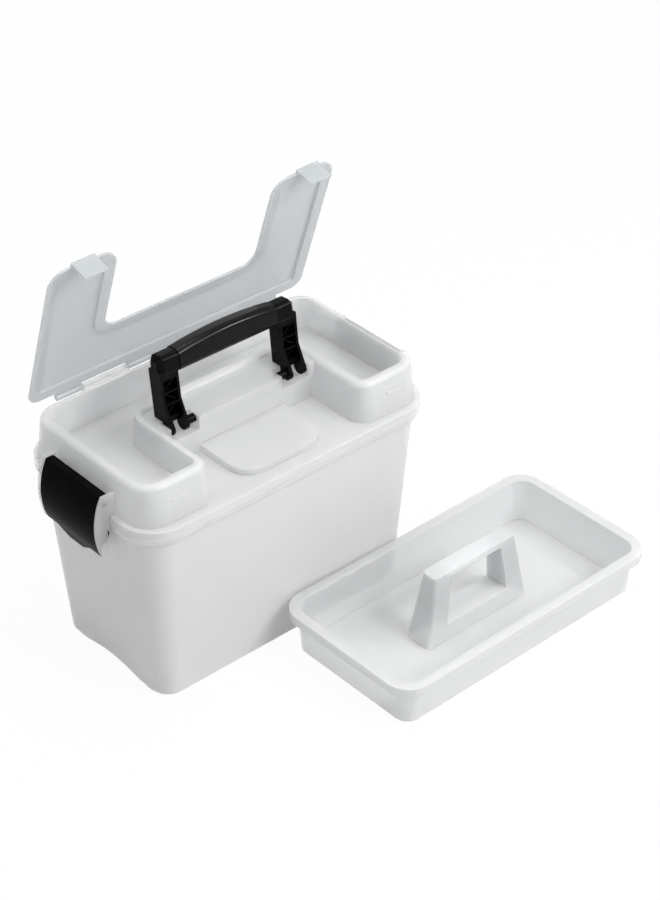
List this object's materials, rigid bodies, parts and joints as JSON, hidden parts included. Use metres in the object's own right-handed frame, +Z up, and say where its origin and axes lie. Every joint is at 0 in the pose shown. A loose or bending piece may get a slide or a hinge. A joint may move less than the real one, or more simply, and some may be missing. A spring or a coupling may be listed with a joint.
{
  "type": "art supply box",
  "caption": "Lidded carrying bin with a U-shaped well cover, flip lid, folding handle, end latches and a lift-out tray.",
  "frame": {"origin": "middle of the bin's base, on the floor", "axes": "+Z up, +X along the length, front towards -Y, the flip lid's hinge along the back"},
  "size_m": [0.4953, 0.3524, 0.4098],
  "materials": {
    "bin_plastic": "milky translucent polypropylene",
    "cover_plastic": "milky translucent polypropylene",
    "lid_plastic": "clearer translucent polypropylene",
    "tray_plastic": "milky white polypropylene",
    "black_plastic": "black moulded plastic",
    "grip_plastic": "black moulded plastic"
  },
  "bodies": {
    "bin_body": {"bin": "bin_plastic"},
    "cover_body": {"cover": "cover_plastic"},
    "lid_body": {"flip_lid": "lid_plastic"},
    "handle_body": {"handle_bail": "black_plastic", "handle_grip": "grip_plastic"},
    "left_latch_body": {"latch_left": "black_plastic"},
    "right_latch_body": {"latch_right": "black_plastic"},
    "tray_body": {"lift_out_tray": "tray_plastic"}
  },
  "joints": [
    {"name": "cover_lift", "type": "slide", "parent": "bin_body", "child": "cover_body", "axis": [0, 0, 1], "range_m": [0, 0.15]},
    {"name": "lid_flip", "type": "hinge", "parent": "cover_body", "child": "lid_body", "pos_m": [0, 0.088, 0.2426], "axis": [1, 0, 0], "range_deg": [-33, 71.6]},
    {"name": "handle_fold", "type": "hinge", "parent": "cover_body", "child": "handle_body", "pos_m": [0, -0.0095, 0.236], "axis": [1, 0, 0], "range_deg": [0, 97]},
    {"name": "left_latch", "type": "hinge", "parent": "cover_body", "child": "left_latch_body", "pos_m": [-0.1732, 0, 0.219], "axis": [0, 1, 0], "range_deg": [-3.6, 100]},
    {"name": "right_latch", "type": "hinge", "parent": "cover_body", "child": "right_latch_body", "pos_m": [0.1732, 0, 0.219], "axis": [0, -1, 0], "range_deg": [-3.6, 100]},
    {"name": "tray_lift", "type": "slide", "parent": "bin_body", "child": "tray_body", "axis": [0, -0.5, 0.866], "range_m": [0, 0.25]}
  ]
}
